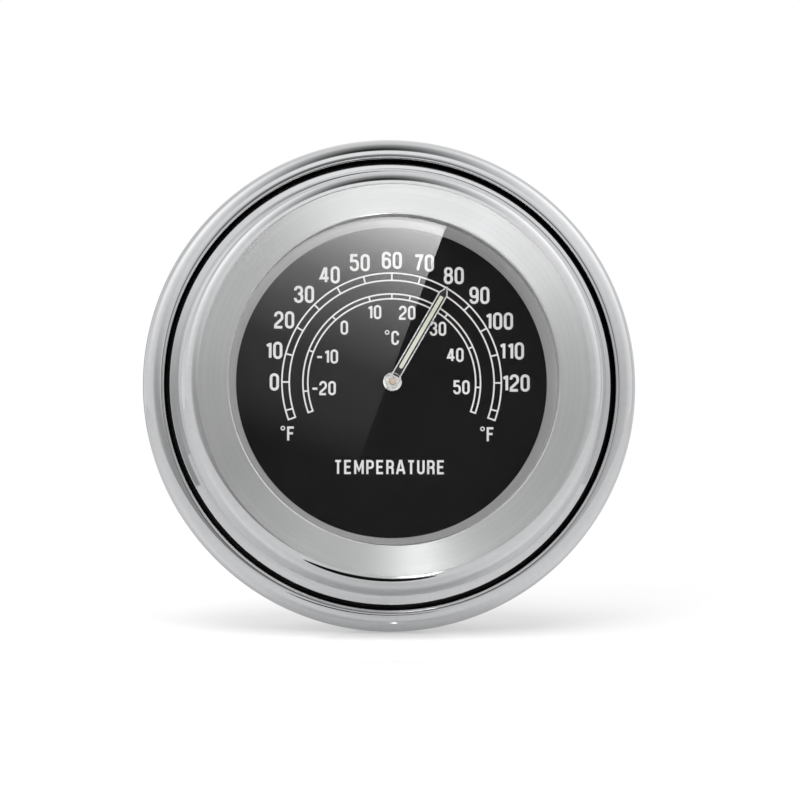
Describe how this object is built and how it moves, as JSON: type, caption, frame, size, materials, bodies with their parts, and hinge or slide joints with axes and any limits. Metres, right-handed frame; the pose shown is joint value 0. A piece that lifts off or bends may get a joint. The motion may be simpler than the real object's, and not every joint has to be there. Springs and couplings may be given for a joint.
{
  "type": "dial thermometer",
  "caption": "Round bimetal dial thermometer: brushed bezel and flat glass on a capsule that turns in a chromed holder cup with a threaded boss at the back.",
  "frame": {"origin": "centre of the mouth of the threaded hole in the boss at the holder cup's back", "axes": "+Y out of the threaded hole, away from the dial; -Y the way the dial faces; +Z towards 12 o'clock; +X to the reader's right"},
  "size_m": [0.047, 0.0185, 0.047],
  "materials": {
    "chrome": "polished chrome plate",
    "brushed_bezel": "turned brush lines on the front, polished shoulder",
    "black_rubber": "smooth matte rubber",
    "gasket_rubber": "flat cut rubber sheet",
    "clear_glass": "clear polished flat glass",
    "satin_silver": "satin turned aluminium",
    "dial_black": "matte black paint with white printing",
    "brass": "turned brass",
    "steel": "bright steel",
    "bimetal": "rolled bimetal strip",
    "pointer_metal": "bright metal with black painted channel",
    "lume": "pale green luminous paint"
  },
  "bodies": {
    "holder": {"mount_cup": "chrome"},
    "capsule": {"case_body": "chrome", "retaining_o_ring": "black_rubber", "bezel": "brushed_bezel", "lens_gasket": "gasket_rubber", "lens": "clear_glass", "reflector_ring": "satin_silver", "dial_plate": "dial_black", "front_bush": "brass", "dial_pillar_left": "brass", "dial_pillar_right": "brass", "bridge": "brass", "bridge_screw_left": "steel", "bridge_screw_right": "steel", "rear_bush": "brass", "coil_anchor": "brass", "bimetal_coil": "bimetal", "back_gasket": "gasket_rubber", "case_back": "satin_silver"},
    "needle": {"arbor": "brass", "coil_collet": "brass", "pointer_hub": "steel", "pointer": "pointer_metal", "pointer_lume": "lume"}
  },
  "joints": [
    {"name": "capsule_turn", "type": "hinge", "parent": "holder", "child": "capsule", "pos_m": [0, 0, 0], "axis": [0, 1, 0], "continuous": true},
    {"name": "pointer_swing", "type": "hinge", "parent": "capsule", "child": "needle", "pos_m": [0, -0.0137, 0], "axis": [0, 1, 0], "range_deg": [-140, 80], "stiffness_Nm_per_rad": 0.0005, "deforming": ["bimetal_coil"]}
  ]
}
